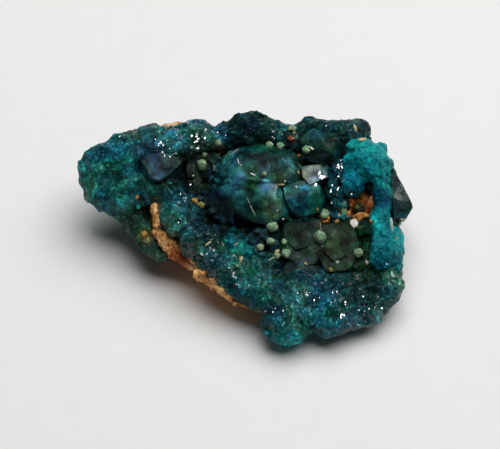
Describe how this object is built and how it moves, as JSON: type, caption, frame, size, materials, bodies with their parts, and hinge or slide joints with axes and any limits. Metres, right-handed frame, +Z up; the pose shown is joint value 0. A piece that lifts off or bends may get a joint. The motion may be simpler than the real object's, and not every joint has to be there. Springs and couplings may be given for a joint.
{
  "type": "dioptase crystal specimen",
  "caption": "Natural dioptase specimen: blue-green crystals in a drusy crust over a gossan matrix, with a turquoise crust and small pale spherules, lying on a flat break.",
  "frame": {"origin": "middle of the flat broken face that the specimen rests on", "axes": "+X runs from the narrow snout to the wide end, along the longest extent; +Y up the sloping crystal-bearing face, away from the viewer; +Z up"},
  "size_m": [0.0451, 0.0324, 0.0155],
  "materials": {
    "dioptase": "glassy",
    "gossan": "earthy",
    "turquoise": "satin"
  },
  "bodies": {
    "root": {"dioptase": "dioptase", "matrix": "gossan", "turquoise_crust": "turquoise"}
  },
  "joints": []
}
